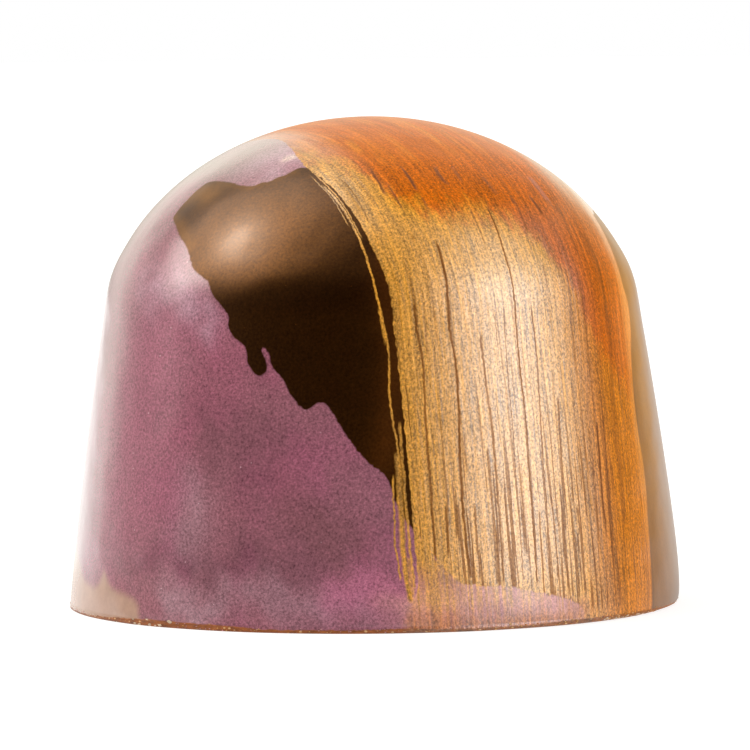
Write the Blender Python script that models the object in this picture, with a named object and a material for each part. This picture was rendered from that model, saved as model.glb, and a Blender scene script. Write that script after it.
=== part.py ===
"""A moulded chocolate bonbon: one solid, a draughted skirt under a low dome, standing on its sealed flat base.

Run it with blender --background --python part.py, or from Blender's text editor. Lengths are in metres and
+Z is up. The origin is the middle of the base, -Y is the front and +X is to the right of it.
"""

import math

import bmesh
import bpy

MM = 0.001

# Driving dimensions
BASE_DIAMETER = 28.0 * MM
HEIGHT = 22.15 * MM
SHOULDER_HEIGHT = 14.55 * MM  # where the dome meets the skirt
DOME_RISE = 10.3 * MM  # vertical half axis of the dome's ellipse
DRAFT_AT_BASE = math.radians(6.2)
DRAFT_AT_SHOULDER = math.radians(9.66)
SHOULDER_SOFTENING = 0.35 * MM
LEAN = math.radians(0.46)  # the axis tips this far towards -X

# The sealed edge at the base: crisp on the left, worn round on the right, and scraped a little unevenly
RIM_PULL = 0.26 * MM
RIM_PULL_REACH = 1.25 * MM
RIM_ROUNDING = 0.27 * MM
SCRAPE_DEPTH = 0.03 * MM
SCRAPE_REACH = 0.3 * MM

# How finely the solid is faceted
SIDES = 96
SKIRT_HEIGHTS = (0.0, 0.08, 0.18, 0.3, 0.7, 1.3, 2.2, 3.6, 5.2, 7.0, 9.0, 11.0, 12.9)
DOME_RINGS = 17

CHOCOLATE_COLOUR = (0.066, 0.026, 0.012, 1.0)
CHOCOLATE_ROUGHNESS = 0.16
SMOOTH_UP_TO = math.radians(30)


def clear_scene():
    for obj in list(bpy.data.objects):
        bpy.data.objects.remove(obj, do_unlink=True)


def skirt_radius(height):
    """The skirt's radius: its draft grows steadily from the base to the shoulder, so it is slightly bowed."""
    slope_at_base = math.tan(DRAFT_AT_BASE)
    slope_growth = (math.tan(DRAFT_AT_SHOULDER) - slope_at_base) / SHOULDER_HEIGHT
    return BASE_DIAMETER / 2 - slope_at_base * height - slope_growth * height**2 / 2


def dome_start():
    """The ellipse's angle at the shoulder, from its own middle height."""
    middle = HEIGHT - DOME_RISE
    return math.asin((SHOULDER_HEIGHT - middle) / DOME_RISE)


def dome_point(angle):
    """(radius, height) on the dome's ellipse, which passes through the top of the skirt."""
    half_width = skirt_radius(SHOULDER_HEIGHT) / math.cos(dome_start())
    return half_width * math.cos(angle), HEIGHT - DOME_RISE + DOME_RISE * math.sin(angle)


def profile():
    """(radius, height) of the outer side, from the apex down to the base's rim and in to its middle."""
    points = []
    for ring in range(DOME_RINGS, -1, -1):
        angle = dome_start() + (math.pi / 2 - dome_start()) * ring / DOME_RINGS
        points.append(dome_point(angle))
    points[0] = (0.0, HEIGHT)
    for height in reversed(SKIRT_HEIGHTS):
        points.append((skirt_radius(height * MM), height * MM))
    points.append((0.0, 0.0))
    return points


def spin_profile(mesh):
    """Turns the profile round +Z into a closed body."""
    chain = [mesh.verts.new((radius, 0.0, height)) for radius, height in profile()]
    links = [mesh.edges.new(pair) for pair in zip(chain, chain[1:])]
    bmesh.ops.spin(
        mesh,
        geom=chain + links,
        cent=(0, 0, 0),
        axis=(0, 0, 1),
        angle=2 * math.pi,
        steps=SIDES,
        use_merge=True,
    )
    bmesh.ops.remove_doubles(mesh, verts=mesh.verts, dist=0.001 * MM)
    bmesh.ops.recalc_face_normals(mesh, faces=mesh.faces)


def soften_shoulder(mesh):
    """Bevels the crease where the dome meets the skirt, as the mould's own edge is slightly round."""
    crease = []
    for edge in mesh.edges:
        if all(abs(vert.co.z - SHOULDER_HEIGHT) < 0.01 * MM for vert in edge.verts):
            crease.append(edge)
    bmesh.ops.bevel(
        mesh,
        geom=crease,
        offset=SHOULDER_SOFTENING,
        segments=2,
        profile=0.5,
        affect="EDGES",
    )


def rim_inset(azimuth, height):
    """How far the edge at the base stands in from the mould's own form. Azimuth 0 is the front."""
    right_side = max(0.0, math.sin(azimuth)) ** 2
    inset = RIM_PULL * right_side * math.exp(-height / RIM_PULL_REACH)
    if height < RIM_ROUNDING:
        drop = 1 - height / RIM_ROUNDING
        inset += RIM_ROUNDING * right_side * (1 - math.sqrt(1 - drop**2))
    scrape = math.sin(5 * azimuth + 0.7) + math.sin(11 * azimuth + 2.1) + math.sin(17 * azimuth)
    return inset + SCRAPE_DEPTH * (1 + scrape / 3) * math.exp(-height / SCRAPE_REACH)


def shape_rim_and_lean(mesh):
    for vert in mesh.verts:
        radius = math.hypot(vert.co.x, vert.co.y)
        if radius > 0.5 * skirt_radius(0.0):
            azimuth = math.atan2(vert.co.x, -vert.co.y)
            scale = 1 - rim_inset(azimuth, vert.co.z) / radius
            vert.co.x *= scale
            vert.co.y *= scale
        vert.co.x -= math.tan(LEAN) * vert.co.z


def chocolate_material():
    material = bpy.data.materials.new("chocolate")
    material.use_nodes = True
    shader = material.node_tree.nodes["Principled BSDF"]
    shader.inputs["Base Color"].default_value = CHOCOLATE_COLOUR
    shader.inputs["Roughness"].default_value = CHOCOLATE_ROUGHNESS
    shader.inputs["Metallic"].default_value = 0.0
    return material


def make_bonbon():
    mesh = bmesh.new()
    spin_profile(mesh)
    soften_shoulder(mesh)
    shape_rim_and_lean(mesh)
    data = bpy.data.meshes.new("bonbon")
    mesh.to_mesh(data)
    mesh.free()
    data.shade_smooth()
    data.set_sharp_from_angle(angle=SMOOTH_UP_TO)
    data.materials.append(chocolate_material())
    bonbon = bpy.data.objects.new("bonbon", data)
    bpy.context.scene.collection.objects.link(bonbon)
    return bonbon


clear_scene()
make_bonbon()
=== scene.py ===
"""The looks of a moulded, hand-painted chocolate bonbon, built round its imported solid.

One dense piece stands for the solid, and its paint is worked out from outlines on the bonbon's own surface:
a purple splash, the bare chocolate that it leaves, a brushed copper stripe and a cream patch. Lengths are in
millimetres until a mesh is made. Azimuth 0 is the front (-Y), and it grows towards +X.
"""

import math
import random

import bpy
import numpy as np
from mathutils import Matrix, Vector, kdtree


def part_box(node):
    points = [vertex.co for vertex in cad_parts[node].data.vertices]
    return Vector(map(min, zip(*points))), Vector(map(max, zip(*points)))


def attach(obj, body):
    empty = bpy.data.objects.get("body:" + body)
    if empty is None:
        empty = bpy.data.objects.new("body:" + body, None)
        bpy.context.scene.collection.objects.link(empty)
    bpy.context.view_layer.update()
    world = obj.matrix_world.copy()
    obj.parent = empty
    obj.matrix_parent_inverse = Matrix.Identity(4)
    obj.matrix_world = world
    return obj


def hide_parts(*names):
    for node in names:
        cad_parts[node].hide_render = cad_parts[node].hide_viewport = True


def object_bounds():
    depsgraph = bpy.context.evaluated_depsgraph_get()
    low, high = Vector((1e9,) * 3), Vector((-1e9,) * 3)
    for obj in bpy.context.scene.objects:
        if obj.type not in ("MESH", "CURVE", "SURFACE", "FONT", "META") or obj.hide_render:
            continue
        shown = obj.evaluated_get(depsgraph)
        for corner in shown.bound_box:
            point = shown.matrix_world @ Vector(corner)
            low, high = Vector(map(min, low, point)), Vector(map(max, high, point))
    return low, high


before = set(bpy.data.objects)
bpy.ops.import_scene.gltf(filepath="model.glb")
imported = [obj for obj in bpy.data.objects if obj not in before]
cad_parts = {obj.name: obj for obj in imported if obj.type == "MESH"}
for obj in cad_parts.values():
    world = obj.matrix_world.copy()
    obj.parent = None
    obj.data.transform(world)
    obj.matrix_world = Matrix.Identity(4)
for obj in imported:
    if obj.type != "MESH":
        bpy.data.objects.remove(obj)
CAD_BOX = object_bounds()

# The solid's own form, as it was modelled. MM is one of its millimetres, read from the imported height.
HEIGHT = 22.15
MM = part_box("bonbon")[1].z / HEIGHT
BASE_RADIUS = 14.0
SHOULDER_HEIGHT = 14.55
DOME_RISE = 10.3
DRAFT_AT_BASE = math.radians(6.2)
DRAFT_AT_SHOULDER = math.radians(9.66)
SHOULDER_SOFTENING = 2.0
LEAN = math.tan(math.radians(0.46))
RIM_PULL, RIM_PULL_REACH, RIM_ROUNDING = 0.26, 1.25, 0.27
SCRAPE_DEPTH, SCRAPE_REACH = 0.03, 0.3

# The mesh: finer in front, where the paint has its small drips
COLUMNS = 512
FRONT_HALF_ANGLE = 100.0
FRONT_DENSITY = 2.2
RINGS = 164
BASE_RINGS = (0.985, 0.95, 0.9, 0.8, 0.65, 0.5, 0.35, 0.2, 0.08)

# The brush went over the dome along this azimuth. "across" is measured square to it, "along" with it.
BRUSH_AZIMUTH = math.radians(32.0)
ACROSS = (math.cos(BRUSH_AZIMUTH), math.sin(BRUSH_AZIMUTH), LEAN * math.cos(BRUSH_AZIMUTH))
ALONG = (-math.sin(BRUSH_AZIMUTH), math.cos(BRUSH_AZIMUTH), -LEAN * math.sin(BRUSH_AZIMUTH))


# ---------------------------------------------------------------- the bonbon's form


def smoothstep(x):
    x = np.clip(x, 0, 1)
    return x * x * (3 - 2 * x)


def skirt_radius(z):
    slope = math.tan(DRAFT_AT_BASE)
    growth = (math.tan(DRAFT_AT_SHOULDER) - slope) / SHOULDER_HEIGHT
    return BASE_RADIUS - slope * z - growth * z**2 / 2


def dome_radius(z):
    middle = HEIGHT - DOME_RISE
    half_width = skirt_radius(SHOULDER_HEIGHT) / math.sqrt(1 - ((SHOULDER_HEIGHT - middle) / DOME_RISE) ** 2)
    return half_width * np.sqrt(np.clip(1 - ((z - middle) / DOME_RISE) ** 2, 0, 1))


def radius_at(z):
    """The mould's radius at a height, with the crease at the shoulder slightly rounded."""
    z = np.asarray(z, float)
    to_dome = smoothstep((z - SHOULDER_HEIGHT + SHOULDER_SOFTENING) / (2 * SHOULDER_SOFTENING))
    return (1 - to_dome) * skirt_radius(z) + to_dome * dome_radius(z)


def rim_inset(azimuth, z):
    """How far the sealed edge stands in from the mould's form: worn round on the right, scraped all round."""
    right_side = np.clip(np.sin(azimuth), 0, 1) ** 2
    drop = np.clip(1 - z / RIM_ROUNDING, 0, 1)
    rounding = RIM_ROUNDING * right_side * (1 - np.sqrt(1 - drop**2))
    pull = RIM_PULL * right_side * np.exp(-z / RIM_PULL_REACH)
    scrape = np.sin(5 * azimuth + 0.7) + np.sin(11 * azimuth + 2.1) + np.sin(17 * azimuth)
    return pull + rounding + SCRAPE_DEPTH * (1 + scrape / 3) * np.exp(-z / SCRAPE_REACH)


def surface_points(azimuth, z):
    """Points on the bonbon's side, for azimuths in radians."""
    azimuth, z = np.broadcast_arrays(azimuth, z)
    radius = radius_at(z) - rim_inset(azimuth, np.clip(z, 0, None))
    return np.stack([radius * np.sin(azimuth) - LEAN * z, -radius * np.cos(azimuth), z], axis=-1)


def ring_heights():
    """Heights evenly spaced along the profile, closer at the scraped edge, without the apex."""
    fine = HEIGHT * (1 - np.linspace(1, 0, 20001) ** 2)
    length = np.concatenate([[0], np.cumsum(np.hypot(np.diff(fine), np.diff(radius_at(fine))))])
    places = np.linspace(0, length[-1], RINGS + 1)[1:-1]
    return np.concatenate([[0.0, 0.05, 0.1], np.interp(places, length, fine)])


def column_azimuths():
    """Azimuths round the bonbon, with FRONT_DENSITY times as many to the degree in front as behind."""
    degrees = np.linspace(-180, 180, 7201)
    front = smoothstep((FRONT_HALF_ANGLE + 10 - np.abs(degrees)) / 20)
    density = 1 + (FRONT_DENSITY - 1) * front
    filled = np.concatenate([[0], np.cumsum((density[1:] + density[:-1]) / 2)])
    return np.radians(np.interp(np.arange(COLUMNS) / COLUMNS * filled[-1], filled, degrees))


def bonbon_points():
    """The piece's points: the base's middle, its rings outwards, the side's rings upwards, and the apex."""
    azimuths = column_azimuths()
    rim = surface_points(azimuths, 0.0)
    rings = [rim * share for share in reversed(BASE_RINGS)]
    rings += [surface_points(azimuths, z) for z in ring_heights()]
    apex = np.array([[-LEAN * HEIGHT, 0, HEIGHT]])
    return np.concatenate([np.zeros((1, 3)), *rings, apex])


def bonbon_faces(ring_count):
    columns = np.arange(COLUMNS)
    following = (columns + 1) % COLUMNS
    faces = [(0, 1 + b, 1 + a) for a, b in zip(columns, following)]
    for ring in range(ring_count - 1):
        low = 1 + ring * COLUMNS
        high = low + COLUMNS
        faces += [(low + a, low + b, high + b, high + a) for a, b in zip(columns, following)]
    last = 1 + (ring_count - 1) * COLUMNS
    apex = last + COLUMNS
    faces += [(last + a, last + b, apex) for a, b in zip(columns, following)]
    return faces


# ---------------------------------------------------------------- outlines, smears and painted reflections on the surface

# The edge of the purple paint round the bare chocolate, as (azimuth, height). It starts at the top left, runs
# under the stripe and round the right side, and comes back along the rim and up the drips in front.
BARE_CHOCOLATE = (
    (-60.9, 18.1), (-60.7, 18.6), (-60.1, 19.1), (-58.8, 19.35), (-54.9, 19.45), (-49.5, 19.42), (-45.7, 19.39),
    (-41.6, 19.29), (-37.3, 19.27), (-34.8, 19.42), (-32.1, 19.49), (-30.5, 19.63), (-27.5, 19.8),
    (-25.7, 19.98), (-22.8, 20.08), (-10, 20.15), (0, 20.2), (15, 20.15), (30, 19.95), (45, 19.4), (55, 18.6),
    (64, 17.9), (76, 17.6), (92, 17.9), (108, 17.4), (124, 18.0), (138, 17.3), (147, 15.8), (155, 14.6),
    (153, 12.6), (158, 11.4), (163, 9.6), (161, 8.7), (156, 9.5), (151, 8.0), (149, 5.9), (151, 4.7),
    (147, 4.0), (142, 4.9), (136, 4.2), (128, 2.6), (120, 2.0), (112, 1.0), (108, -0.8), (75, -1.2),
    (44, -0.8), (41, 0.6), (38, 1.1), (30, 1.6), (24, 1.9), (16, 2.1), (12, 3.0), (8, 4.2), (5.5, 4.9),
    (3.5, 5.9), (2, 6.8), (-2, 7.6), (-6, 8.8), (-8.5, 9.7), (-10.5, 10.0), (-13.5, 9.7), (-16.5, 10.3),
    (-18, 10.9), (-19.5, 11.25), (-20.9, 11.6), (-21.3, 11.95), (-21.9, 12.2), (-22.7, 12.37),
    (-23.2, 12.3), (-22.9, 12.1), (-22.1, 11.85), (-21.7, 11.5), (-22.1, 11.25), (-23.2, 11.13),
    (-24.4, 11.2), (-25.9, 11.6), (-26.5, 12.05), (-27, 12.4), (-28.6, 12.63), (-30.2, 12.9), (-31.3, 13.3),
    (-31.3, 13.65), (-32.5, 14.0), (-33.9, 14.28), (-35.5, 14.55), (-36.5, 14.8), (-37.6, 15.14),
    (-40, 15.4), (-43.2, 15.75), (-45.3, 16.16), (-48, 16.62), (-52.3, 17.06), (-56.9, 17.5),
    (-60.3, 17.8),
)

CREAM_PATCH = (
    (-48.5, -0.8), (-49, 0.3), (-49.5, 0.8), (-51, 1.1), (-54, 1.3), (-57, 1.4), (-59.5, 1.65), (-61.7, 2.1),
    (-62.3, 2.1), (-63.5, 1.7), (-66, 1.4), (-72, 1.6), (-78, 2.4), (-84, 2.9), (-91, 2.3), (-97, 1.1),
    (-102, 0.9), (-107, -0.8),
)

# How high the scraped edge of dark chocolate shows at the rim, as (azimuth, height)
SCRAPED_EDGE = (
    (-180, 0.16), (-150, 0.22), (-120, 0.1), (-90, 0.05), (-70, 0.08), (-56, 0.2), (-46, 0.3), (-36, 0.27),
    (-27, 0.25), (-22, 0.14), (-8, 0.16), (6, 0.2), (14, 0.13), (28, 0.12), (36, 0.2), (48, 0.22), (60, 0.2),
    (90, 0.12), (130, 0.24), (180, 0.16),
)


def smooth_outline(corners, steps=12):
    """A closed curve through an outline's corners (Catmull-Rom), as (azimuth, height) rows."""
    p = np.array(corners, float)
    t = np.arange(steps)[:, None, None] / steps
    before, here, after, beyond = np.roll(p, 1, 0), p, np.roll(p, -1, 0), np.roll(p, -2, 0)
    bend = 2 * before - 5 * here + 4 * after - beyond
    curve = 2 * here + t * (after - before) + t**2 * bend + t**3 * (3 * here - 3 * after + beyond - before)
    return (curve / 2).transpose(1, 0, 2).reshape(-1, 2)


def inside_outline(azimuth, z, curve):
    """Which points lie inside a closed curve, counting its crossings above each point."""
    inside = np.zeros(azimuth.shape, bool)
    for (a0, z0), (a1, z1) in zip(curve, np.roll(curve, -1, 0)):
        crosses = (azimuth < a0) != (azimuth < a1)
        if a0 != a1:
            inside ^= crosses & (z < z0 + (azimuth - a0) * (z1 - z0) / (a1 - a0))
    return inside


def distance_to(points, curve):
    """The distance of each point to a curve of (azimuth, height) rows on the surface."""
    places = surface_points(np.radians(curve[:, 0]), curve[:, 1])
    tree = kdtree.KDTree(len(places))
    for index, place in enumerate(places):
        tree.insert(place, index)
    tree.balance()
    return np.array([tree.find(point)[2] for point in points])


def depth_inside(points, azimuth, corners):
    """Millimetres inside an outline, negative outside it."""
    curve = smooth_outline(corners)
    sign = np.where(inside_outline(azimuth, points[:, 2], curve), 1.0, -1.0)
    return sign * distance_to(points, curve)


def srgb(red, green, blue):
    """A display colour of 0 to 255 as the linear values that shaders use."""
    parts = np.array([red, green, blue]) / 255
    return np.where(parts <= 0.04045, parts / 12.92, ((parts + 0.055) / 1.055) ** 2.4)


ROSE_PURPLE = srgb(144, 90, 101)
MAGENTA = srgb(160, 82, 110)
LILAC = srgb(190, 154, 170)
ASHY_LILAC = srgb(134, 108, 104)
PEARL = srgb(170, 136, 146)
PLUM = srgb(84, 50, 60)
MAROON = srgb(118, 50, 74)
UMBER = srgb(98, 62, 56)
PINK = srgb(186, 100, 130)
BLUSH = srgb(240, 214, 200)
PALE_PINK = srgb(208, 150, 136)

# Soft smears in the purple, among them a partly painted highlight and two painted reflections of the floor: their
# route as (azimuth, height), half width, colour and strength
PURPLE_SMEARS_AND_PAINTED_LIGHT = (
    (((-62, 4), (-58, 9), (-56, 13)), 2.2, MAGENTA, 0.4),
    (((-47, 5), (-46, 12)), 2.0, MAGENTA, 0.35),
    (((-54, 16), (-40, 13.5), (-30, 11.5)), 1.6, MAGENTA, 0.25),
    (((-39, 3.4), (-37, 6)), 1.2, PEARL, 0.45),
    # A pale band low across the front: a painted reflection of the white floor.
    (((-42, 1.5), (-22, 1.6), (-2, 1.2)), 0.9, PEARL, 0.38),
    (((-37, 9.3), (-30, 8), (-23, 6.6)), 0.9, PLUM, 0.36),
    (((-28, 9), (-18, 8.4)), 0.9, PLUM, 0.25),
    (((-18, 6.2), (-12, 5), (-5, 3.6)), 0.9, UMBER, 0.3),
    (((-23, 3.2), (-12, 3.1)), 1.1, PLUM, 0.22),
    (((-48, 2.9), (-38, 2.8)), 0.7, MAROON, 0.5),
    (((-38, 2.8), (-24, 2.8)), 0.7, PLUM, 0.35),
    (((-22, 6.4), (-8, 8)), 1.2, MAGENTA, 0.3),
    (((-6, 1.5), (4, 1.9)), 1.0, PINK, 0.6),
    # A second pale band, lower still: a painted reflection of the white floor.
    (((-41, 0.9), (-32, 0.9)), 0.6, PEARL, 0.45),
    (((8, 1.4), (20, 1.2), (48, 0.3)), 1.0, PALE_PINK, 0.9),
    (((-48, 20.4), (-20, 20.6)), 1.2, LILAC, 0.8),
    (((-34, 20.35), (-24, 20.75)), 0.28, BLUSH, 0.9),
    # A pale lilac band along the shoulder: partly paler paint and partly a painted highlight of the softbox.
    (((-58, 15.3), (-46, 14.3), (-37, 13.7)), 0.85, LILAC, 0.5),
    (((-110, 19.5), (-64, 20.3), (-56, 20.4)), 1.6, ASHY_LILAC, 0.8),
    (((-82, 14), (-74, 8)), 2.2, PEARL, 0.3),
    (((-130, 16), (-118, 9), (-122, 4)), 2.0, MAGENTA, 0.4),
    (((-112, 6), (-98, 10), (-90, 15)), 1.4, PLUM, 0.35),
    (((-160, 9), (-178, 6)), 1.6, PLUM, 0.3),
    (((176, 12), (170, 5), (160, 2.5)), 1.5, LILAC, 0.45),
    (((-172, 3), (172, 1.6)), 0.9, MAROON, 0.4),
)

DARK_CHOCOLATE = srgb(13, 1, 0)
OLIVE_PAINTED_REFLECTION = srgb(112, 74, 26)
WARM_BROWN = srgb(60, 26, 4)

# The same in the bare chocolate: a painted olive reflection at its left tip and along its top edge, and warmer brown
# beside the stripe
CHOCOLATE_SMEARS_AND_REFLECTIONS = (
    (((-61.5, 18.7), (-57, 19.0), (-52, 18.9)), 0.75, OLIVE_PAINTED_REFLECTION, 0.85),
    (((-61, 17.9), (-55, 17.5), (-47, 16.7)), 0.35, OLIVE_PAINTED_REFLECTION, 0.6),
    (((-52, 19.4), (-38, 19.25), (-26, 19.9)), 0.3, OLIVE_PAINTED_REFLECTION, 0.45),
    (((2, 7.6), (5, 12), (3, 16)), 0.7, WARM_BROWN, 0.6),
)


def wandered(points):
    """The points moved by slow waves, so that what is drawn from straight routes comes out uneven."""
    x, y, z = points.T
    drift = np.sin(1.3 * z + 0.9 * x) + 0.6 * np.sin(2.7 * x - 1.9 * y + 0.8) + 0.35 * np.sin(4.9 * z + 3.1 * y)
    lift = np.sin(1.1 * x - 0.7 * y + 2.0) + 0.6 * np.sin(2.3 * z + 2.9 * x) + 0.35 * np.sin(5.3 * x + 1.2 * z)
    return points + np.stack([0.35 * drift, 0.2 * drift, 0.3 * lift], axis=1)


def distance_to_route(points, route):
    """The distance of each point to a short route of (azimuth, height) corners."""
    nearest = np.full(len(points), np.inf)
    for (a0, z0), (a1, z1) in zip(route, route[1:]):
        if abs(a1 - a0) > 180:
            a1 += math.copysign(360, a0 - a1)
        for share in np.linspace(0, 1, 12):
            place = surface_points(math.radians(a0 + share * (a1 - a0)), z0 + share * (z1 - z0))
            nearest = np.minimum(nearest, np.linalg.norm(points - place, axis=1))
    return nearest


def smeared(points, start, smears):
    """A colour at each point: the start colour with smears laid over it."""
    colour = np.tile(start, (len(points), 1))
    for route, half_width, tint, strength in smears:
        share = strength * np.exp(-((distance_to_route(points, route) / half_width) ** 2))
        colour += share[:, None] * (tint - colour)
    return colour


def purple_paint(points):
    """The purple's colour at each point, with its smears (one partly a painted highlight, two painted reflections of
    the floor) and two soft painted reflection edges low on the skirt, darker just above each.
    """
    moved = wandered(points)
    colour = smeared(moved, ROSE_PURPLE, PURPLE_SMEARS_AND_PAINTED_LIGHT)
    height = moved[:, 2]
    # Painted edges of the floor's reflection: the purple is darkened just above heights of about 2.3 and 1.3 mm.
    upper_reflection_edge = smoothstep((height - 2.1) / 0.5) * np.exp(-np.clip(height - 2.4, 0, None) / 1.6)
    lower_reflection_edge = smoothstep((height - 1.15) / 0.4) * np.exp(-np.clip(height - 1.4, 0, None) / 0.5)
    return colour * (1 - 0.1 * upper_reflection_edge - 0.05 * lower_reflection_edge)[:, None]


# ---------------------------------------------------------------- shader nodes


class Graph:
    """Builds a node tree: each method adds one node and returns its output."""

    def __init__(self, tree):
        self.tree = tree
        tree.nodes.clear()

    def node(self, kind, inputs, output=0, **settings):
        node = self.tree.nodes.new("ShaderNode" + kind)
        for name, value in settings.items():
            setattr(node, name, value)
        for key, value in inputs.items():
            if isinstance(value, bpy.types.NodeSocket):
                self.tree.links.new(value, node.inputs[key])
            else:
                node.inputs[key].default_value = value
        return node.outputs[output] if node.outputs else None

    def math(self, operation, *values):
        return self.node("Math", dict(enumerate(values)), operation=operation)

    def add(self, a, b):
        return self.math("ADD", a, b)

    def subtract(self, a, b):
        return self.math("SUBTRACT", a, b)

    def multiply(self, a, b):
        return self.math("MULTIPLY", a, b)

    def largest(self, values):
        result = values[0]
        for value in values[1:]:
            result = self.math("MAXIMUM", result, value)
        return result

    def dot(self, vector, direction):
        return self.node("VectorMath", {0: vector, 1: direction}, output=1, operation="DOT_PRODUCT")

    def scale(self, vector, factors):
        return self.node("VectorMath", {0: vector, 1: factors}, operation="MULTIPLY")

    def ramp(self, value, start, end, low=0.0, high=1.0):
        """From low to high, smoothly, while the value goes from start to end."""
        inputs = {0: value, 1: start, 2: end, 3: low, 4: high}
        return self.node("MapRange", inputs, interpolation_type="SMOOTHSTEP")

    def mix(self, factor, a, b):
        a, b = (c if isinstance(c, bpy.types.NodeSocket) else (*c, 1.0) for c in (a, b))
        return self.node("Mix", {0: factor, 6: a, 7: b}, output=2, data_type="RGBA")

    def tint(self, colour, factor):
        """A colour made lighter or darker by a number."""
        return self.node("VectorMath", {0: colour, "Scale": factor}, operation="SCALE")

    def noise(self, vector, scale, detail=2.0, roughness=0.5):
        inputs = {"Vector": vector, "Scale": scale, "Detail": detail, "Roughness": roughness}
        return self.node("TexNoise", inputs)

    def cells(self, vector, scale):
        """(distance to the nearest cell's middle, that cell's own chance number)."""
        distance = self.node("TexVoronoi", {"Vector": vector, "Scale": scale})
        chance = self.node("SeparateColor", {0: distance.node.outputs["Color"]})
        return distance, chance

    def attribute(self, name, output):
        return self.node("Attribute", {}, output=output, attribute_name=name)

    def curve(self, value, points, lowest, highest, least, most):
        """A smooth curve through points of (value, result), between the given limits of both."""
        place = self.node("MapRange", {0: value, 1: lowest, 2: highest, 3: 0.0, 4: 1.0})
        result = self.node("FloatCurve", {0: 1.0, 1: place})
        knots = result.node.mapping.curves[0].points
        scaled = sorted(((x - lowest) / (highest - lowest), (y - least) / (most - least)) for x, y in points)
        while len(knots) < len(scaled):
            knots.new(0.5, 0.5)
        for knot, location in zip(knots, scaled):
            knot.location = location
        result.node.mapping.extend = "HORIZONTAL"
        result.node.mapping.update()
        return self.node("MapRange", {0: result, 1: 0.0, 2: 1.0, 3: least, 4: most})


# ---------------------------------------------------------------- paint

SCRAPED_CHOCOLATE = srgb(146, 82, 36)
CREAM = srgb(172, 135, 116)
GOLD = srgb(208, 140, 36)
AMBER = srgb(190, 108, 12)
COPPER = srgb(186, 88, 0)
BRONZE_VEIL = srgb(140, 90, 32)
THIN_COPPER = srgb(96, 44, 10)
TERRACOTTA = srgb(172, 92, 44)
PALE_COPPER = srgb(214, 130, 28)
ASHY_COPPER = srgb(154, 88, 34)
BROWN_HAZE = (0.9, 0.33, 0.05)
PINK_HAZE = (0.4, 0.26, 0.28)
GOLD_HAZE = (0.52, 0.9, 0.9)
COPPER_HAZE = (0.9, 0.45, 0.0)
COAT_ON_CHOCOLATE = 0.07
POLISHED_SPOT = (-5.8, -9.15, 17.0)
COAT_ON_SPOT = 0.24
COAT_ON_RIGHT = 0.2
COAT_ON_CAP = 0.02
COAT_ON_AMBER = 0.25
GAP_DEPTH = 0.87

# The stripe's left edge over the dome as (along, across), and its right edge as (height, across)
LEFT_EDGE = (
    (-14, -5.72), (-12.6, -5.7), (-11.5, -5.64), (-10.6, -5.62), (-9.9, -5.68), (-9, -5.76), (-8.1, -5.8),
    (-6.75, -5.88), (-4.85, -6.0), (-4.2, -6.0), (-3, -5.75), (-1.2, -5.25), (0, -5.1), (4, -5.4), (13, -6.1),
)
RIGHT_EDGE = ((0, 7.05), (4, 7.2), (6, 7.3), (9, 7.1), (11, 7.25), (13.5, 7.7), (14.8, 7.4), (17, 7.5), (22, 7.45))

# Thin lines of gold beside the stripe: (height, across) going up, half width and strength
STRANDS = (
    (((1.2, -6.02), (2.8, -6.16), (5, -6.12), (7.9, -6.02)), 0.12, 1.0),
    (((6.5, -6.09), (7.9, -6.0), (9.9, -6.1), (12.4, -5.95), (14.6, -6.12), (15.4, -6.13), (17.4, -6.08), (19.4, -6.14)), 0.045, 0.95),
    (((2.2, -6.38), (3, -6.42), (4, -6.45), (5, -6.4), (6.9, -6.28)), 0.04, 0.9),
    (((17.5, -6.24), (19.8, -6.2)), 0.025, 0.6),
    (((1.8, -5.86), (4.5, -5.9), (9.2, -5.82)), 0.06, 0.85),
    (((1.4, -5.98), (3.4, -6.0)), 0.1, 0.7),
    (((12.4, -6.0), (14.2, -6.1)), 0.07, 0.8),
    (((17.0, -5.98), (20.2, -6.02)), 0.03, 0.7),
)

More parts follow.
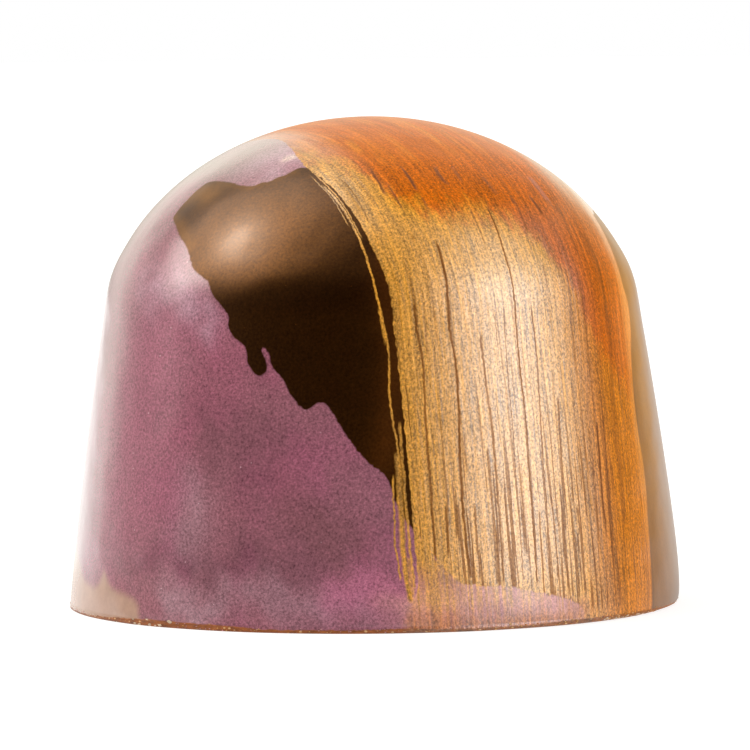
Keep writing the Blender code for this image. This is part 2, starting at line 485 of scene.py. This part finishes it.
# Gaps that the bristles left, in the same way: the long ones first, then the short ones, then those at the top
GAPS = (
    (((2.2, -3.45), (4, -3.53), (7, -3.5), (9.9, -3.3), (11.9, -3.25), (13.4, -3.34), (15.8, -3.15), (17, -3.08)), 0.07, 1.0),
    (((1.8, -0.3), (5, -0.28), (9.9, -0.17), (11.9, -0.2), (14.8, -0.1), (16.6, -0.03), (18.4, 0.05)), 0.05, 1.0),
    (((3.0, -4.9), (6.9, -4.82), (9.9, -4.74), (11.9, -4.63), (12.9, -4.72), (14.4, -4.73)), 0.06, 0.9),
    (((1.8, 0.45), (5, 0.5), (8.9, 0.6), (10.9, 0.72), (14, 0.72)), 0.045, 0.85),
    (((1.9, -1.97), (5, -1.92), (8.4, -1.88), (10.9, -1.95), (13, -1.98)), 0.06, 0.85),
    (((2, -1.0), (6.9, -0.92), (9.9, -0.86), (12.9, -0.78), (14.1, -0.72)), 0.03, 0.7),
    (((4, 1.43), (6.9, 1.55), (10.1, 1.72)), 0.065, 0.8),
    (((4.1, 3.93), (5, 3.87), (6.9, 3.9), (8.8, 3.98)), 0.07, 1.0),
    (((2.3, 4.28), (6, 4.35), (9.3, 4.42)), 0.055, 0.75),
    (((4, 5.2), (6.9, 5.3), (7.9, 5.2), (10.9, 5.38), (12.4, 5.6), (14.8, 5.47), (15.8, 5.5), (17, 5.35)), 0.17, 0.42),
    (((10.5, 6.35), (15, 6.3)), 0.15, 0.3),
    (((3.2, -4.35), (5.6, -4.24)), 0.07, 0.9),
    (((8.2, -5.42), (11, -5.42)), 0.03, 0.7),
    (((3.9, -5.44), (5.1, -5.42)), 0.035, 0.7),
    (((6.8, -3.22), (8.6, -3.2)), 0.05, 0.6),
    (((2.1, -3.05), (5.6, -3.02)), 0.05, 0.8),
    (((1.9, -2.25), (8, -2.18)), 0.07, 0.7),
    (((1.7, -1.38), (4.9, -1.33)), 0.045, 0.8),
    (((12.1, -1.2), (14, -1.18)), 0.03, 0.6),
    (((7.9, -0.66), (12, -0.6)), 0.03, 0.5),
    (((4.2, -0.72), (7.3, -0.68)), 0.11, 0.35),
    (((1.4, 1.35), (2.8, 1.36)), 0.07, 0.9),
    (((1.1, 1.95), (4.1, 1.95)), 0.055, 0.8),
    (((1.2, 2.33), (5.3, 2.25)), 0.08, 0.8),
    (((14.5, 1.78), (15.9, 1.84)), 0.05, 0.6),
    (((17.0, 1.64), (18.3, 1.7)), 0.08, 0.6),
    (((1.9, 0.84), (2.9, 0.85)), 0.06, 0.9),
    (((0.9, 3.28), (5.6, 3.36)), 0.04, 0.6),
    (((16.8, -4.02), (17.4, -4.0)), 0.09, 0.5),
    (((16.6, -0.86), (18.5, -0.84)), 0.04, 0.6),
    (((17.6, -5.46), (19.7, -5.28)), 0.035, 0.7),
    (((18.8, -4.22), (20.1, -3.98)), 0.055, 0.95),
    (((18.2, -3.87), (19.5, -3.8)), 0.045, 0.85),
    (((19.0, -2.8), (20.15, -2.68)), 0.065, 1.0),
    (((18.1, -2.82), (18.9, -2.76)), 0.045, 0.6),
    (((19.2, -1.2), (19.75, -1.3), (20.15, -1.12)), 0.1, 0.85),
    (((19.3, -0.48), (20.1, -0.36)), 0.09, 0.5),
    (((18.7, 1.02), (19.7, 0.78)), 0.14, 0.4),
    (((18.2, 1.68), (18.8, 1.64)), 0.1, 0.55),
    (((17.7, 3.08), (18.2, 2.98), (18.8, 2.82)), 0.11, 0.95),
    (((18.1, 3.98), (19.6, 3.72)), 0.2, 0.35),
    (((17.8, -5.62), (19.9, -5.4)), 0.16, 0.4),
    (((18.3, -4.9), (19.9, -4.7)), 0.12, 0.3),
)

# Above this height the gold gives way to copper, as (across, height)
COPPER_LINE = ((-7, 20.6), (-4.6, 20.2), (-3.9, 18.9), (-2.5, 18.1), (0, 18.0), (1.5, 17.2), (2.5, 16.2), (3.5, 14.6), (4.5, 12.4), (5.5, 11.0), (7.5, 10.0))

# Pale smears in the copper over the cap, as (along, across), in the same way
CAP_SMEARS = (
    (((-4.2, -5.05), (-1.2, -4.9)), 0.25, 0.55),
    (((-5.6, -3.72), (-3.4, -3.5)), 0.22, 0.55),
    (((-6.8, -2.72), (-5.6, -2.66)), 0.12, 0.6),
    (((-6.0, -4.15), (-4.9, -4.05)), 0.1, 0.55),
    (((-6.2, 0.2), (-4.0, 0.3), (1.0, 0.25)), 0.18, 0.55),
    (((-6.6, 2.35), (-2.0, 2.1)), 0.22, 0.35),
    (((-7.4, 3.55), (-5.2, 3.75)), 0.22, 0.6),
    (((-8.6, 5.6), (-5.0, 6.0)), 0.5, 0.4),
    (((-3.0, -1.5), (3.0, -1.2)), 0.25, 0.35),
    (((1.0, 1.4), (6.5, 1.5)), 0.3, 0.4),
    (((2.0, -3.2), (7.0, -3.4)), 0.3, 0.45),
    (((3.0, 4.4), (8.5, 4.2)), 0.35, 0.4),
)


class BonbonPaint(Graph):
    """The nodes of the bonbon's paint, in millimetres: across and along the brush's way, and up."""

    def __init__(self, tree):
        super().__init__(tree)
        position = self.node("NewGeometry", {}, output="Position")
        self.place = self.scale(position, (1 / MM,) * 3)
        self.across = self.dot(self.place, ACROSS)
        self.along = self.dot(self.place, ALONG)
        self.height = self.dot(self.place, (0, 0, 1))
        slow = self.noise(self.scale(self.place, (0.3, 0.3, 0.9)), 1.0, 2.0)
        fast = self.noise(self.scale(self.place, (1.0, 1.0, 4.0)), 1.0, 1.0)
        ragged = self.noise(self.scale(self.place, (1.0, 1.0, 0.6)), 7.0, 1.0)
        wobble = self.add(self.math("MULTIPLY_ADD", slow, 0.1, -0.05), self.math("MULTIPLY_ADD", fast, 0.05, -0.025))
        wobble = self.add(wobble, self.math("MULTIPLY_ADD", ragged, 0.08, -0.04))
        # Across the brush's way and up, with the hand's small wobble, and mirrored behind the dome's middle
        side = self.ramp(self.along, -0.5, 0.5, 1.0, -1.0)
        self.brushed = self.math("MULTIPLY_ADD", self.across, side, wobble)
        self.risen = self.add(self.height, wobble)

    def line(self, value, aside, route, half_width, strength, end_fade=0.3):
        """How much of a thin line shows: its route is (value, aside) points, with value growing."""
        first, last = route[0][0], route[-1][0]
        if len(route) == 2:
            slope = (route[1][1] - route[0][1]) / (last - first)
            path = self.math("MULTIPLY_ADD", value, slope, route[0][1] - slope * first)
        else:
            path = self.curve(value, route, first, last, -8, 8)
        away = self.math("ABSOLUTE", self.subtract(aside, path))
        core = self.ramp(away, half_width * 1.4, half_width * 0.3, 0.0, strength)
        from_middle = self.math("ABSOLUTE", self.subtract(value, (first + last) / 2))
        reach = (last - first) / 2
        return self.multiply(core, self.ramp(from_middle, reach, reach - end_fade))

    def lines(self, value, aside, table, end_fade=0.3):
        total = 0.0
        for route, half_width, strength in table:
            total = self.math("MAXIMUM", total, self.line(value, aside, route, half_width, strength, end_fade))
        return total

    def along_brush(self, across_scale, along_scale):
        """Places stretched along the brush's way, for bristle marks."""
        return self.node("CombineXYZ", {
            0: self.multiply(self.across, across_scale),
            1: self.multiply(self.along, along_scale),
            2: self.multiply(self.height, along_scale),
        })

    def fine_gaps(self):
        """Hairline gaps, dense and dark low on the stripe and on its dry back, and fainter further up."""
        marks = self.noise(self.along_brush(6.4, 0.13), 1.0, 1.5, 0.6)
        broken = self.noise(self.along_brush(9.0, 1.3), 1.0, 2.0)
        low = self.ramp(self.height, 12.0, 3.0)
        middle = self.ramp(self.math("ABSOLUTE", self.subtract(self.across, 0.2)), 5.6, 3.4)
        dry = self.add(self.multiply(low, middle), self.ramp(self.along, 2.0, 11.0, 0.0, 0.9))
        start = self.math("MULTIPLY_ADD", dry, -0.07, 0.61)
        over = self.subtract(self.add(marks, self.math("MULTIPLY_ADD", broken, 0.12, -0.06)), start)
        strength = self.multiply(self.ramp(dry, 0.0, 1.0, 0.35, 0.72), self.ramp(self.height, 18.5, 14.0))
        return self.multiply(self.ramp(over, 0.0, 0.04), strength)

    def stripe(self):
        """How much metal paint covers each place."""
        rough = self.noise(self.scale(self.place, (3.0, 3.0, 3.0)), 1.0, 3.0)
        left = self.add(self.curve(self.along, LEFT_EDGE, -14, 14, -8, 0), self.math("MULTIPLY_ADD", rough, 0.2, -0.1))
        left = self.add(left, self.ramp(self.height, 2.2, 0.4, 0.0, -0.6))
        right = self.curve(self.height, RIGHT_EDGE, 0, HEIGHT, 6, 9)
        soft = self.ramp(self.height, 1.6, 0.4, 0.03, 0.3)
        inside_left = self.math("DIVIDE", self.subtract(self.across, left), soft)
        body = self.multiply(self.ramp(inside_left, -1, 1), self.ramp(self.subtract(right, self.across), -0.09, 0.09))
        gaps = self.multiply(self.lines(self.risen, self.brushed, GAPS), GAP_DEPTH)
        gaps = self.math("MAXIMUM", gaps, self.fine_gaps())
        bottom = self.ramp(self.height, 0.3, 0.9)
        cover = self.multiply(body, self.math("MULTIPLY_ADD", self.multiply(gaps, bottom), -1.0, 1.0))
        thin = self.multiply(self.ramp(self.attribute("bare_depth", "Fac"), 0.05, -0.1), self.ramp(self.height, 3.4, 2.0))
        thin = self.multiply(thin, self.ramp(self.height, 0.2, 1.2, 0.5, 1.0))
        streaks = self.ramp(self.noise(self.along_brush(4.5, 0.2), 1.0, 2.0), 0.4, 0.6, 0.2, 0.62)
        cover = self.multiply(cover, self.math("MULTIPLY_ADD", thin, self.multiply(streaks, -1.0), 1.0))
        front = self.ramp(self.along, -2.0, -4.0)
        strands = self.multiply(self.lines(self.risen, self.brushed, STRANDS), front)
        return self.math("MAXIMUM", cover, strands)


def metal_colour(p):
    """Gold, amber to the right and copper over the cap, with bristle marks, metallic grain, a few painted glints and
    pale smears.
    """
    line = p.curve(p.across, COPPER_LINE, -7, 7.5, 8, 22)
    ragged = p.noise(p.along_brush(2.2, 0.9), 1.0, 4.0, 0.65)
    above = p.add(p.subtract(p.height, line), p.math("MULTIPLY_ADD", ragged, 3.2, -1.6))
    right_side = p.ramp(p.across, 1.6, 4.6)
    colour = p.mix(right_side, GOLD, AMBER)
    colour = p.mix(p.ramp(above, -0.8, 0.8), colour, COPPER)
    colour = p.mix(p.multiply(p.ramp(p.across, 4.6, 6.4), p.ramp(p.height, 15.5, 18.5, 0.0, 0.8)), colour, ASHY_COPPER)
    low = p.add(p.height, p.math("MULTIPLY_ADD", ragged, 1.4, -0.7))
    colour = p.mix(p.multiply(p.ramp(low, 1.5, 0.7, 0.0, 0.8), p.ramp(p.across, 3.4, 1.6)), colour, TERRACOTTA)
    on_cap = p.ramp(p.height, 19.8, 20.9)
    pale = p.lines(p.along, p.across, CAP_SMEARS, end_fade=0.9)
    streaky = p.ramp(p.noise(p.along_brush(1.6, 0.22), 1.0, 2.0), 0.4, 0.7, 0.03, 0.36)
    colour = p.mix(p.multiply(on_cap, p.math("MAXIMUM", pale, streaky)), colour, PALE_COPPER)
    marks = p.noise(p.along_brush(6.5, 0.25), 1.0, 3.0, 0.65)
    grain = p.noise(p.scale(p.place, (1.0, 1.0, 0.75)), 11.0, 2.0, 0.7)
    distance, chance = p.cells(p.place, 14.0)
    sharp = p.ramp(p.across, 7.2, 6.2, 0.5, 1.0)
    sharp = p.multiply(sharp, p.ramp(on_cap, 0, 1, 1.0, 0.55))
    light = p.math("MULTIPLY_ADD", marks, 2.1, -1.05)
    light = p.add(light, p.math("MULTIPLY_ADD", grain, 2.8, -1.4))
    light = p.add(light, p.math("MULTIPLY_ADD", chance, 0.24, -0.12))
    # A few cells made brighter: painted glints of the metal flakes.
    light = p.add(light, p.ramp(chance, 0.95, 0.98, 0.0, 0.3))
    return p.tint(colour, p.math("MAXIMUM", p.math("MULTIPLY_ADD", light, sharp, 1.0), 0.4))


def purple_colour(p):
    """The purple with its smears, painted highlight and painted floor reflections from the mesh, cloudy marbling, a
    fine speckle and a few light specks.
    """
    colour = p.attribute("purple", "Color")
    cloud = p.noise(p.place, 0.55, 6.0, 0.68)
    speckle = p.noise(p.place, 9.0, 2.0, 0.8)
    light = p.math("MULTIPLY_ADD", cloud, 0.48, 0.77)
    light = p.add(light, p.math("MULTIPLY_ADD", speckle, 2.3, -1.15))
    warm = p.noise(p.scale(p.place, (1.0, 1.0, 0.7)), 0.35, 3.0)
    colour = p.mix(p.ramp(warm, 0.5, 0.75, 0.0, 0.4), colour, MAGENTA)
    colour = p.tint(colour, light)
    distance, chance = p.cells(p.place, 1.7)
    dot = p.multiply(p.ramp(distance, 0.075, 0.03), p.ramp(chance, 0.62, 0.7, 0.0, 0.75))
    return p.mix(dot, colour, srgb(214, 176, 184))


def chocolate_colour(p):
    """Bare dark chocolate with its painted olive reflection, slightly mottled, with tiny flecks and, right of the
    stripe, a thin veil of bronze.
    """
    mottle = p.noise(p.place, 1.4, 4.0, 0.65)
    colour = p.tint(p.attribute("chocolate", "Color"), p.math("MULTIPLY_ADD", mottle, 1.0, 0.5))
    distance, chance = p.cells(p.place, 2.1)
    fleck = p.multiply(p.ramp(distance, 0.08, 0.03), p.ramp(chance, 0.7, 0.75, 0.0, 0.5))
    colour = p.mix(fleck, colour, srgb(120, 70, 30))
    under_stripe = p.ramp(p.math("ABSOLUTE", p.subtract(p.across, 0.85)), 6.4, 5.9, 0.0, 0.8)
    colour = p.mix(under_stripe, colour, THIN_COPPER)
    veil = p.multiply(p.ramp(p.across, 6.9, 7.4), p.ramp(p.across, 13.0, 8.0, 0.3, 1.0))
    veil = p.multiply(veil, p.ramp(p.along, 4.0, -3.0))
    veil = p.multiply(veil, p.math("MULTIPLY_ADD", mottle, 0.3, 0.45))
    return p.mix(veil, colour, BRONZE_VEIL)


def scraped_colour(p):
    """The scraped edge and the base: dull chocolate with crumbs of cream and copper paint ground into it."""
    streaks = p.noise(p.scale(p.place, (2.2, 2.2, 9.0)), 1.0, 4.0, 0.7)
    colour = p.tint(SCRAPED_CHOCOLATE, p.math("MULTIPLY_ADD", streaks, 2.4, -0.3))
    distance, chance = p.cells(p.scale(p.place, (1.0, 1.0, 1.7)), 4.2)
    crumb = p.multiply(p.ramp(distance, 0.36, 0.2), p.ramp(chance, 0.66, 0.7))
    rim = p.ramp(p.height, 0.02, 0.05)
    return p.mix(p.multiply(crumb, rim), colour, srgb(204, 158, 108))


def relief(p):
    """The surface's fine height in millimetres: slow waves, bristle furrows and the rough scraped edge."""
    waves = p.multiply(p.noise(p.place, 0.5, 1.0), 0.05)
    brushed = p.ramp(p.math("ABSOLUTE", p.subtract(p.across, 0.8)), 6.7, 6.0, 0.0, 0.014)
    furrows = p.multiply(p.noise(p.along_brush(6.0, 0.5), 1.0, 2.0), brushed)
    rough = p.multiply(p.noise(p.place, 6.0, 2.0), p.ramp(p.height, 0.3, 0.12, 0.0, 0.05))
    return p.add(p.add(waves, furrows), rough)


def paint_material():
    material = bpy.data.materials.new("painted chocolate")
    material.use_nodes = True
    p = BonbonPaint(material.node_tree)
    jagged = p.noise(p.place, 3.5, 3.0, 0.6)
    nibble = p.math("MULTIPLY_ADD", jagged, 0.16, -0.08)
    bare = p.ramp(p.add(p.attribute("bare_depth", "Fac"), nibble), -0.055, 0.055)
    cream = p.ramp(p.add(p.attribute("cream_depth", "Fac"), nibble), -0.25, 0.3)
    scraped = p.ramp(p.add(p.attribute("edge_depth", "Fac"), nibble), -0.03, 0.03)
    stripe = p.stripe()
    base = p.mix(bare, purple_colour(p), chocolate_colour(p))
    cloudy = p.math("MULTIPLY_ADD", p.noise(p.place, 1.3, 4.0, 0.7), 0.6, 0.7)
    base = p.mix(cream, base, p.tint(CREAM, cloudy))
    colour = p.mix(stripe, base, metal_colour(p))
    colour = p.mix(scraped, colour, scraped_colour(p))
    on_cap = p.multiply(stripe, p.ramp(p.height, 17.1, 18.9))
    on_cap = p.multiply(on_cap, p.multiply(p.ramp(p.across, -5.6, -3.2), p.ramp(p.across, 6.4, 4.2)))
    amber = p.math("MAXIMUM", on_cap, p.ramp(p.across, 3.0, 5.5))
    dusty = p.math("MULTIPLY_ADD", p.noise(p.place, 8.0, 2.0, 0.7), 1.6, 0.2)
    grain = p.noise(p.scale(p.place, (1.0, 1.0, 0.75)), 11.0, 2.0, 0.7)
    sparkling = p.tint(p.mix(amber, GOLD_HAZE, COPPER_HAZE), p.math("MULTIPLY_ADD", grain, 2.2, -0.1))
    haze = p.mix(stripe, p.mix(bare, PINK_HAZE, p.tint(BROWN_HAZE, dusty)), sparkling)
    from_spot = p.node("VectorMath", {0: p.place, 1: POLISHED_SPOT}, output=1, operation="DISTANCE")
    coat_on_bare = p.add(p.ramp(p.across, 6.8, 8.5, COAT_ON_CHOCOLATE, COAT_ON_RIGHT), p.ramp(from_spot, 2.4, 0.3, 0.0, COAT_ON_SPOT))
    coat = p.math("MULTIPLY_ADD", bare, p.subtract(coat_on_bare, 1.0), 1.0)
    coat = p.math("MAXIMUM", coat, p.multiply(stripe, p.math("MULTIPLY_ADD", grain, 1.4, 0.25)))
    coat = p.multiply(coat, p.ramp(on_cap, 0.0, 1.0, 1.0, COAT_ON_CAP))
    amber_band = p.multiply(p.ramp(p.across, 3.0, 5.5), p.ramp(p.across, 7.6, 6.4))
    amber_band = p.multiply(amber_band, p.ramp(p.height, 19.5, 16.5, 0.5, 1.0))
    coat = p.multiply(coat, p.ramp(p.multiply(stripe, amber_band), 0.0, 1.0, 1.0, COAT_ON_AMBER))
    coat = p.multiply(coat, p.ramp(p.height, 3.0, 1.0, 1.0, 0.5))
    coat = p.multiply(coat, p.math("MAXIMUM", p.ramp(p.across, 7.4, 6.4), p.ramp(p.height, 1.0, 6.0, 0.2, 1.0)))
    coat = p.multiply(coat, p.ramp(scraped, 0.0, 1.0, 1.0, 0.15))
    roughness = p.mix(stripe, p.mix(bare, (0.26,) * 3, (0.32,) * 3), (0.33,) * 3)
    bump = p.node("Bump", {"Strength": 1.0, "Distance": MM, "Height": relief(p)}, output="Normal")
    shader = p.node(
        "BsdfPrincipled",
        {
            "Base Color": colour,
            "Roughness": p.add(roughness, p.multiply(scraped, 0.25)),
            "Normal": bump,
            "Specular Tint": haze,
            "Specular IOR Level": 1.0,
            "Metallic": p.multiply(stripe, 0.12),
            "Coat Weight": coat,
            "Coat Roughness": 0.16,
            "Coat IOR": 1.7,
            "Coat Normal": bump,
        },
    )
    p.node("OutputMaterial", {"Surface": shader})
    return material


def add_colours(data, name, colours):
    """A colour for each of a mesh's points."""
    rows = np.concatenate([colours, np.ones((len(colours), 1))], axis=1).astype(np.float32)
    data.attributes.new(name, "FLOAT_COLOR", "POINT").data.foreach_set("color", rows.ravel())


def make_bonbon():
    points = bonbon_points()
    azimuth = np.degrees(np.arctan2(points[:, 0] + LEAN * points[:, 2], -points[:, 1]))
    data = bpy.data.meshes.new("painted_bonbon")
    data.from_pydata((points * MM).tolist(), [], bonbon_faces(len(BASE_RINGS) + len(ring_heights())))
    data.shade_smooth()
    values = {
        "bare_depth": depth_inside(points, azimuth, BARE_CHOCOLATE),
        "cream_depth": depth_inside(points, azimuth, CREAM_PATCH),
        "edge_depth": np.interp(azimuth, *np.transpose(SCRAPED_EDGE)) - points[:, 2],
    }
    for name, numbers in values.items():
        data.attributes.new(name, "FLOAT", "POINT").data.foreach_set("value", numbers.astype(np.float32))
    # The purple's colour carries a painted highlight, painted floor reflections and the painted shade above their
    # edges.
    add_colours(data, "purple", purple_paint(points))
    # The chocolate's colour carries a painted olive reflection at the bare patch's upper left and top edge.
    add_colours(data, "chocolate", smeared(points, DARK_CHOCOLATE, CHOCOLATE_SMEARS_AND_REFLECTIONS))
    data.materials.append(paint_material())
    bonbon = bpy.data.objects.new("painted_bonbon", data)
    bpy.context.scene.collection.objects.link(bonbon)
    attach(bonbon, "root")
    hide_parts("bonbon")


# ---------------------------------------------------------------- chips of paint on the scraped edge

CREAM_CHIP = srgb(214, 186, 158)
GOLD_CHIP = srgb(216, 160, 84)
AMBER_CHIP = srgb(190, 110, 40)
PINK_CHIP = srgb(196, 140, 142)
CHIP_SIDES = 7
CHIP_THICKNESS = 0.025

# From and to which azimuth, how many, the greatest height and half length, and the colour
CHIPS = (
    (-54, -41, 8, 0.3, 0.2, CREAM_CHIP),
    (-70, -56, 6, 0.15, 0.1, CREAM_CHIP),
    (-40, 6, 30, 0.24, 0.07, PINK_CHIP),
    (-40, 20, 26, 0.2, 0.06, GOLD_CHIP),
    (20, 66, 44, 0.26, 0.09, GOLD_CHIP),
    (24, 64, 24, 0.2, 0.1, AMBER_CHIP),
    (46, 62, 20, 0.12, 0.13, CREAM_CHIP),
    (66, 180, 30, 0.2, 0.08, GOLD_CHIP),
    (-180, -70, 30, 0.18, 0.08, PINK_CHIP),
)


def chip_points(azimuth, height, half_length, rng):
    """A thin irregular flake lying on the edge: its outer face's corners, then the same corners on the edge."""
    turns = [2 * math.pi * (corner + rng.uniform(-0.3, 0.3)) / CHIP_SIDES for corner in range(CHIP_SIDES)]
    reaches = [half_length * rng.uniform(0.5, 1.0) for _ in turns]
    degrees_per_mm = 180 / (math.pi * BASE_RADIUS)
    points = []
    for share, lift in ((0.75, CHIP_THICKNESS), (1.0, -0.01)):
        for turn, reach in zip(turns, reaches):
            aside = azimuth + share * reach * math.cos(turn) * degrees_per_mm
            up = max(0.0, height + 0.5 * share * reach * math.sin(turn))
            place = surface_points(math.radians(aside), up)
            outward = np.array([math.sin(math.radians(aside)), -math.cos(math.radians(aside)), 0])
            points.append(place + lift * outward)
    return points


def chip_material():
    material = bpy.data.materials.new("chips of paint")
    material.use_nodes = True
    g = Graph(material.node_tree)
    position = g.node("NewGeometry", {}, output="Position")
    mottle = g.noise(g.scale(position, (1 / MM,) * 3), 6.0, 2.0)
    colour = g.tint(g.attribute("chip", "Color"), g.math("MULTIPLY_ADD", mottle, 0.9, 0.45))
    g.node("OutputMaterial", {"Surface": g.node("BsdfPrincipled", {"Base Color": colour, "Roughness": 0.5})})
    return material


def make_chips():
    rng = random.Random(11)
    points, faces, colours = [], [], []
    for start, end, count, highest, longest, colour in CHIPS:
        for _ in range(count):
            first = len(points)
            half_length = longest * rng.uniform(0.35, 1.0)
            points += chip_points(rng.uniform(start, end), highest * rng.uniform(0.05, 1), half_length, rng)
            colours += [colour * rng.uniform(0.7, 1.05)] * (2 * CHIP_SIDES)
            top = list(range(first, first + CHIP_SIDES))
            faces.append(top)
            for a, b in zip(top, top[1:] + top[:1]):
                faces.append((a, a + CHIP_SIDES, b + CHIP_SIDES, b))
    low, high = (np.array(corner) / MM for corner in CAD_BOX)
    data = bpy.data.meshes.new("rim_chips")
    data.from_pydata((np.clip(points, low, high) * MM).tolist(), [], faces)
    add_colours(data, "chip", np.array(colours))
    data.materials.append(chip_material())
    chips = bpy.data.objects.new("rim_chips", data)
    bpy.context.scene.collection.objects.link(chips)
    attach(chips, "root")


# ---------------------------------------------------------------- camera, light and floor

EYE_DISTANCE = 300.0
EYE_ELEVATION = math.radians(3.546)
EYE_ROLL = math.radians(-0.566)
AIM_HEIGHT = 10.38
LENS = 316.5


def make_camera():
    data = bpy.data.cameras.new("camera")
    data.lens = LENS
    data.sensor_width = 36.0
    data.clip_start = 0.01
    camera = bpy.data.objects.new("camera", data)
    bpy.context.scene.collection.objects.link(camera)
    back = Vector((0, -math.cos(EYE_ELEVATION), math.sin(EYE_ELEVATION)))
    eye = (Vector((0, 0, HEIGHT / 2)) + EYE_DISTANCE * back) * MM
    towards_eye = eye - Vector((0, 0, AIM_HEIGHT * MM))
    look = towards_eye.to_track_quat("Z", "Y").to_matrix().to_4x4()
    camera.matrix_world = Matrix.Translation(eye) @ look @ Matrix.Rotation(EYE_ROLL, 4, "Z")
    bpy.context.scene.camera = camera


# The big softbox on the left, as azimuth and elevation, the radii of its even middle and of its soft edge, and
# its strength. A great circle cuts it off behind.
SOFTBOX = (-95, 52, 13, 37, 3.6)
SOFTBOX_CUT = (0.40, 0.868, -0.295)
WHITE = (1.0, 0.98, 0.88)
COOL = (0.94, 1.0, 1.14)
BROWN = (1.0, 0.56, 0.12)
CREAM_LIGHT = (1.0, 0.92, 0.72)

# Further soft lights: azimuth, elevation, reach in degrees, strength and colour
SOFT_LIGHTS = (
    (-93, 49, 5.5, 9.5, WHITE),
    (-97, 21, 7.5, 2.1, WHITE),
    (-162, 30, 16, 0.5, WHITE),
    (-165, 15, 9, 0.35, WHITE),
    (-142, 6, 10, 0.6, WHITE),
    (166, 15, 9, 0.35, CREAM_LIGHT),
    (168, 4, 9, 0.5, WHITE),
    (61, 16, 17, 3.6, COOL),
    (72, 40, 15, 1.8, WHITE),
    (-60, 76, 16, 0.7, WHITE),
    (-132, 4, 18, 0.5, WHITE),
    (-172, 14, 20, 0.22, WHITE),
    (142, 3, 12, 1.6, BROWN),
    (168, 22, 18, 0.4, CREAM_LIGHT),
    (168, 50, 18, 0.85, CREAM_LIGHT),
)


def sky_direction(azimuth, elevation):
    azimuth, elevation = math.radians(azimuth), math.radians(elevation)
    level = math.cos(elevation)
    return level * math.sin(azimuth), -level * math.cos(azimuth), math.sin(elevation)


def softbox(g, direction):
    azimuth, elevation, even, outer, strength = SOFTBOX
    nearness = g.dot(direction, sky_direction(azimuth, elevation))
    disc = g.ramp(nearness, math.cos(math.radians(outer)), math.cos(math.radians(even)), 0.0, strength)
    return g.tint(WHITE, g.multiply(disc, g.ramp(g.dot(direction, SOFTBOX_CUT), 0.06, -0.06)))


def make_sky():
    """Soft lights on a dark sky, each fading as a bell curve over its reach. The camera sees plain white."""
    world = bpy.data.worlds.new("studio")
    world.use_nodes = True
    bpy.context.scene.world = world
    g = Graph(world.node_tree)
    direction = g.node("TexCoord", {}, output="Generated")
    light = softbox(g, direction)
    for azimuth, elevation, reach, strength, colour in SOFT_LIGHTS:
        sharpness = 1 / math.radians(reach) ** 2
        nearness = g.dot(direction, sky_direction(azimuth, elevation))
        lobe = g.math("EXPONENT", g.math("MULTIPLY_ADD", nearness, sharpness, -sharpness))
        bright = tuple(strength * part for part in colour)
        light = g.node("VectorMath", {0: lobe, 1: bright, 2: light}, operation="MULTIPLY_ADD")
    seen = g.node("LightPath", {}, output="Is Camera Ray")
    lighting = g.node("Background", {"Color": light, "Strength": 1.0})
    backdrop = g.node("Background", {"Color": (1, 1, 1, 1), "Strength": 1.0})
    shown = g.node("MixShader", {0: seen, 1: lighting, 2: backdrop})
    g.node("OutputWorld", {"Surface": shown})


FLOOR_RADIUS = 1.5
FLOOR_GLOW = 0.8


def make_floor():
    data = bpy.data.meshes.new("floor")
    corners = [(x * FLOOR_RADIUS, y * FLOOR_RADIUS, -0.02 * MM) for x, y in ((-1, -1), (1, -1), (1, 1), (-1, 1))]
    data.from_pydata(corners, [], [(0, 1, 2, 3)])
    material = bpy.data.materials.new("white floor")
    material.use_nodes = True
    g = Graph(material.node_tree)
    shader = g.node(
        "BsdfPrincipled",
        {
            "Base Color": (0.3, 0.3, 0.3, 1),
            "Roughness": 0.9,
            "Emission Color": (1, 1, 1, 1),
            "Emission Strength": FLOOR_GLOW,
        },
    )
    g.node("OutputMaterial", {"Surface": shader})
    data.materials.append(material)
    floor = bpy.data.objects.new("floor", data)
    bpy.context.scene.collection.objects.link(floor)


bpy.context.scene.view_settings.view_transform = "Standard"
make_camera()
make_sky()
make_floor()
make_bonbon()
make_chips()
